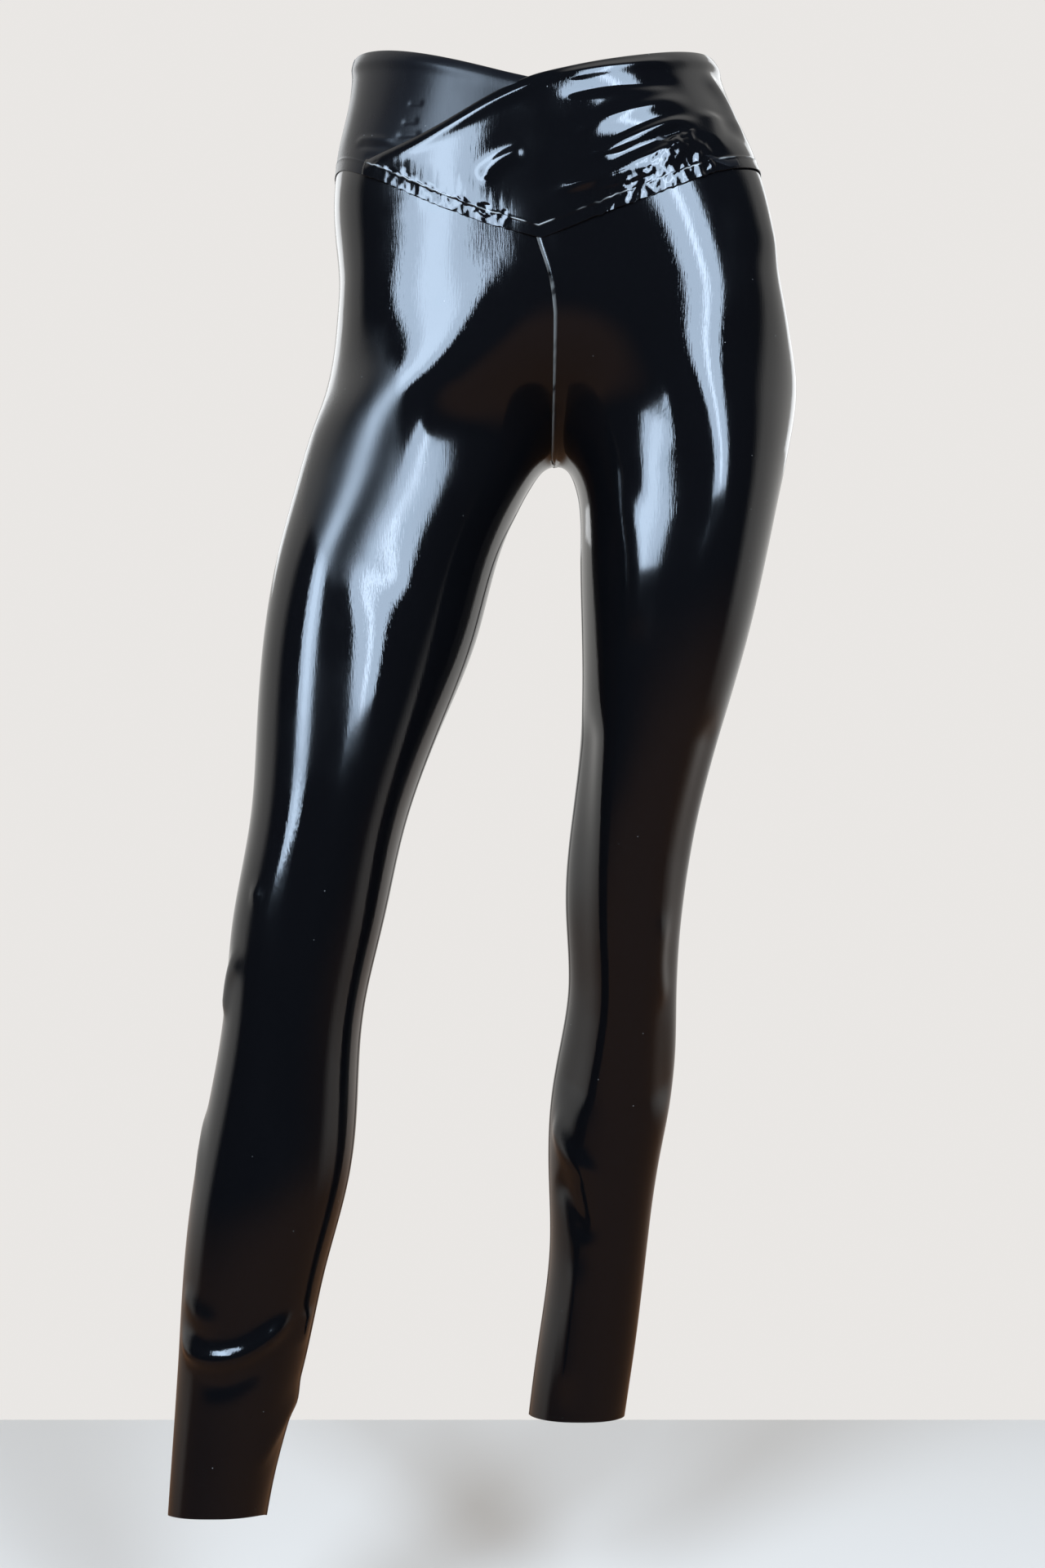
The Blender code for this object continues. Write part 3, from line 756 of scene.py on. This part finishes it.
def texture(tree, scale, stretch, detail):
    """Noise from 0 to 1."""
    placed = tree.nodes.new("ShaderNodeMapping")
    placed.inputs["Scale"].default_value = stretch
    tree.links.new(own_space(tree), placed.inputs["Vector"])
    made = tree.nodes.new("ShaderNodeTexNoise")
    made.inputs["Scale"].default_value = scale
    made.inputs["Detail"].default_value = detail
    tree.links.new(placed.outputs[0], made.inputs["Vector"])
    return made.outputs["Fac"]


def ramp(tree, value, start, end, high=1.0):
    """From 0 to high, smoothly, as a value goes from start to end."""
    share = tree.nodes.new("ShaderNodeMapRange")
    share.interpolation_type = "SMOOTHSTEP"
    for key, number in (("From Min", start), ("From Max", end), ("To Max", high)):
        share.inputs[key].default_value = number
    tree.links.new(value, share.inputs["Value"])
    return share.outputs[0]


def maths(tree, operation, *values):
    """A sum, product or the like of sockets and numbers."""
    made = tree.nodes.new("ShaderNodeMath")
    made.operation = operation
    for socket, value in zip(made.inputs, values):
        if isinstance(value, (int, float)):
            socket.default_value = value
        else:
            tree.links.new(value, socket)
    return made.outputs[0]


def vector_maths(tree, operation, value, *others):
    """The same for a vector and, where the operation takes one, a fixed second vector."""
    made = tree.nodes.new("ShaderNodeVectorMath")
    made.operation = operation
    tree.links.new(value, made.inputs[0])
    for socket, other in zip(made.inputs[1:], others):
        socket.default_value = other
    return made.outputs["Value" if operation == "LENGTH" else "Vector"]


def polish(tree, smear):
    """Roughness: fine smears over broad ones, and the dull patch with its ragged edge."""
    smears = [
        ramp(tree, texture(tree, scale, stretch, detail), start, full, rough)
        for scale, stretch, detail, start, full, rough in SMEARS
    ]
    offset = vector_maths(tree, "SUBTRACT", own_space(tree), MATTE_CENTRE)
    distance = vector_maths(tree, "LENGTH", vector_maths(tree, "DIVIDE", offset, MATTE_RADII))
    edge = maths(tree, "MULTIPLY", texture(tree, 30, (1, 1, 0.5), 5), 0.5)
    dull = ramp(tree, maths(tree, "ADD", distance, edge), 1.35, 1.1, MATTE_ROUGHNESS)
    return maths(tree, "ADD", maths(tree, "ADD", *smears), maths(tree, "ADD", dull, POLISHED + smear))


def dust_and_glue(tree):
    """How much shows at each place: a few pale specks of dust, and the glue along the seams."""
    cells = tree.nodes.new("ShaderNodeTexVoronoi")
    cells.inputs["Scale"].default_value = DUST_SCALE
    tree.links.new(own_space(tree), cells.inputs["Vector"])
    pick = tree.nodes.new("ShaderNodeSeparateColor")
    tree.links.new(cells.outputs["Color"], pick.inputs[0])
    middle = ramp(tree, cells.outputs["Distance"], 0.07, 0.04)
    chosen = ramp(tree, pick.outputs[0], 0.93, 0.95)
    specks = maths(tree, "MULTIPLY", maths(tree, "MULTIPLY", middle, chosen), DUST_SHADE)
    glue = tree.nodes.new("ShaderNodeAttribute")
    glue.attribute_name = "glue"
    return maths(tree, "MAXIMUM", specks, glue.outputs["Fac"])


def latex(name, smear, shine, black):
    """Black rubber polished with silicone: nearly black itself, all its looks in its reflections."""
    material = bpy.data.materials.new(name)
    material.use_nodes = True
    tree = material.node_tree
    shader = tree.nodes["Principled BSDF"]
    shader.inputs["IOR"].default_value = 1.52
    shader.inputs["Specular IOR Level"].default_value = shine
    pale = dust_and_glue(tree)
    tint = tree.nodes.new("ShaderNodeMix")
    tint.data_type = "RGBA"
    tint.inputs[6].default_value = (*black, 1)
    tint.inputs[7].default_value = (*DUST_COLOUR, 1)
    tree.links.new(pale, tint.inputs[0])
    tree.links.new(tint.outputs[2], shader.inputs["Base Color"])
    rough = maths(tree, "ADD", polish(tree, smear), maths(tree, "MULTIPLY", pale, DUST_ROUGHNESS))
    tree.links.new(rough, shader.inputs["Roughness"])
    grain = tree.nodes.new("ShaderNodeBump")
    grain.inputs["Strength"].default_value = 1.0
    grain.inputs["Distance"].default_value = GRAIN_DEPTH
    tree.links.new(texture(tree, *GRAIN), grain.inputs["Height"])
    tree.links.new(grain.outputs[0], shader.inputs["Normal"])
    return material


# ---------------------------------------------------------------- stage, lights, camera

FLOOR_HEIGHT = -1.08
FLOOR_SIDES = ((-2.0, -2.0), (2.0, 0.33))  # its front right and back left corners; the wall stands behind it
CAMERA_PLACE = (-0.0096, -1.10, -0.474)
CAMERA_PITCH = 1.2
CAMERA_LENS = 36.56

# Two tall strip softboxes stand in front, one on each side, each with a brighter tube down its middle.
# Columns: side, azimuth, tube's width, tube's radiance.
STRIPS = (("right", -33, 0.28, (3.4, 4.2, 5.2)), ("left", 28, 0.1, (7.5, 9, 11)))
STRIP_SIZE = (0.7, 1.4)
STRIP_DISTANCE = 1.6
STRIP_CENTRE = 0.5
STRIP_AIM = (0, 0, -0.3)
STRIP_RADIANCE = (8.8, 11.3, 14.5)
# Two fainter ones stand behind.
REAR_STRIPS = (("right", -150), ("left", 150))
REAR_SIZE = (0.6, 1.3)
REAR_DISTANCE = 1.9
REAR_CENTRE = 0.6
REAR_RADIANCE = (1.2, 1.25, 1.3)

# What the glossy rubber mirrors besides the lights.
DARK_ROOM = (0.012, 0.012, 0.014)
WALL_GLOW = (0.7, 0.69, 0.67)
FLOOR_GLOW = (0.21, 0.115, 0.065)
WALL_SEEN = (0.82, 0.80, 0.78)  # the wall as the camera itself sees it


def make_floor():
    """A plain pale floor, a rectangle that stops where the wall begins."""
    mesh = bpy.data.meshes.new("floor")
    (right, front), (left, back) = FLOOR_SIDES
    corners = [(right, front), (left, front), (left, back), (right, back)]
    mesh.from_pydata([(x, y, FLOOR_HEIGHT) for x, y in corners], [], [(0, 1, 2, 3)])
    material = bpy.data.materials.new("pale floor")
    material.use_nodes = True
    shader = material.node_tree.nodes["Principled BSDF"]
    shader.inputs["Base Color"].default_value = (0.68, 0.61, 0.54, 1)
    shader.inputs["Roughness"].default_value = 0.6
    mesh.materials.append(material)
    floor = bpy.data.objects.new("floor", mesh)
    bpy.context.scene.collection.objects.link(floor)
    floor.visible_glossy = False


def area_light(name, place, aim, width, height, radiance):
    """An upright softbox turned to its aim, whose face has the radiance given as a colour."""
    light = bpy.data.lights.new(name, "AREA")
    light.shape = "RECTANGLE"
    light.size = width
    light.size_y = height
    strongest = max(radiance)
    light.color = [value / strongest for value in radiance]
    light.energy = strongest * math.pi * width * height
    obj = bpy.data.objects.new(name, light)
    obj.location = place
    obj.rotation_mode = "QUATERNION"
    obj.rotation_quaternion = (Vector(place) - Vector(aim)).to_track_quat("Z", "Y")
    obj.visible_camera = False
    bpy.context.scene.collection.objects.link(obj)


def around(azimuth, distance, height):
    """A place by its direction in degrees, from -Y towards +X."""
    azimuth = math.radians(azimuth)
    return distance * math.sin(azimuth), -distance * math.cos(azimuth), height


def make_lights():
    """The softboxes and their tubes in front, and the fainter strips behind."""
    for side, azimuth, tube_width, tube_radiance in STRIPS:
        place = around(azimuth, STRIP_DISTANCE, STRIP_CENTRE)
        area_light(f"{side} strip", place, STRIP_AIM, *STRIP_SIZE, STRIP_RADIANCE)
        nearer = around(azimuth, STRIP_DISTANCE - 0.01, STRIP_CENTRE)
        area_light(f"{side} tube", nearer, STRIP_AIM, tube_width, STRIP_SIZE[1], tube_radiance)
    for side, azimuth in REAR_STRIPS:
        place = around(azimuth, REAR_DISTANCE, REAR_CENTRE)
        area_light(f"rear {side} strip", place, STRIP_AIM, *REAR_SIZE, REAR_RADIANCE)


def make_world():
    """A pale wall behind, a dark brown floor to the reflections, and a dark room in front."""
    world = bpy.data.worlds.new("studio")
    world.use_nodes = True
    bpy.context.scene.world = world
    nodes, links = world.node_tree.nodes, world.node_tree.links
    background = nodes["Background"]
    seen = nodes.new("ShaderNodeBackground")
    seen.inputs["Color"].default_value = (*WALL_SEEN, 1)
    path = nodes.new("ShaderNodeLightPath")
    mix = nodes.new("ShaderNodeMixShader")
    links.new(path.outputs["Is Camera Ray"], mix.inputs[0])
    links.new(background.outputs[0], mix.inputs[1])
    links.new(seen.outputs[0], mix.inputs[2])
    links.new(mix.outputs[0], nodes["World Output"].inputs[0])
    where = nodes.new("ShaderNodeTexCoord")
    parts = nodes.new("ShaderNodeSeparateXYZ")
    links.new(where.outputs["Generated"], parts.inputs[0])
    wall = gradient(world.node_tree, parts.outputs["Y"], -0.2, 0.12, DARK_ROOM, WALL_GLOW)
    below = gradient(world.node_tree, parts.outputs["Z"], -0.05, -0.42, wall, FLOOR_GLOW)
    links.new(below, background.inputs["Color"])


def gradient(tree, value, start, end, first, last):
    """A smooth change to the last colour as a value goes from start to end; first is a colour or a socket."""
    tint = tree.nodes.new("ShaderNodeMix")
    tint.data_type = "RGBA"
    if isinstance(first, tuple):
        tint.inputs[6].default_value = (*first, 1)
    else:
        tree.links.new(first, tint.inputs[6])
    tint.inputs[7].default_value = (*last, 1)
    tree.links.new(ramp(tree, value, start, end), tint.inputs[0])
    return tint.outputs[2]


def make_camera():
    """A view from straight in front, from the height of the thighs, looking down a little."""
    data = bpy.data.cameras.new("camera")
    data.lens = CAMERA_LENS
    data.sensor_width = 36
    camera = bpy.data.objects.new("camera", data)
    camera.location = CAMERA_PLACE
    camera.rotation_euler = (math.radians(90 - CAMERA_PITCH), 0, 0)
    bpy.context.scene.collection.objects.link(camera)
    bpy.context.scene.camera = camera


# ---------------------------------------------------------------- the whole scene


def declare(piece, node):
    """Puts a piece on the root body and hides the solid that it stands for."""
    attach(piece, "root")
    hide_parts(node)


def main():
    rubber = latex("polished black latex", 0.0, 0.5, BLACK)
    smeared = latex("smeared black latex", 0.2, 0.2, DULL_BLACK)
    declare(make_leg("right", -1, RIGHT_HEM, rubber), "leg_right_panel")
    declare(make_leg("left", 1, LEFT_HEM, rubber), "leg_left_panel")
    under = make_band("wrap_under", -SIDE_TURN, TIP_TURN, UNDER_EDGE, first_layer, 300, 90, smeared)
    over = make_band("wrap_over", -TIP_TURN, SIDE_TURN, OVER_EDGE, second_layer, 330, 116, rubber)
    first, last = SIDE_TURN - SIDE_LAP, 2 - SIDE_TURN + SIDE_LAP
    back = make_band("back_band", first, last, BACK_EDGE, back_layer, 300, 60, rubber)
    declare(under, "wrap_under")
    declare(over, "wrap_over")
    declare(back, "back_band")
    make_floor()
    make_world()
    make_camera()
    make_lights()
    bpy.context.scene.view_settings.view_transform = "Standard"


main()
bpy.context.view_layer.update()
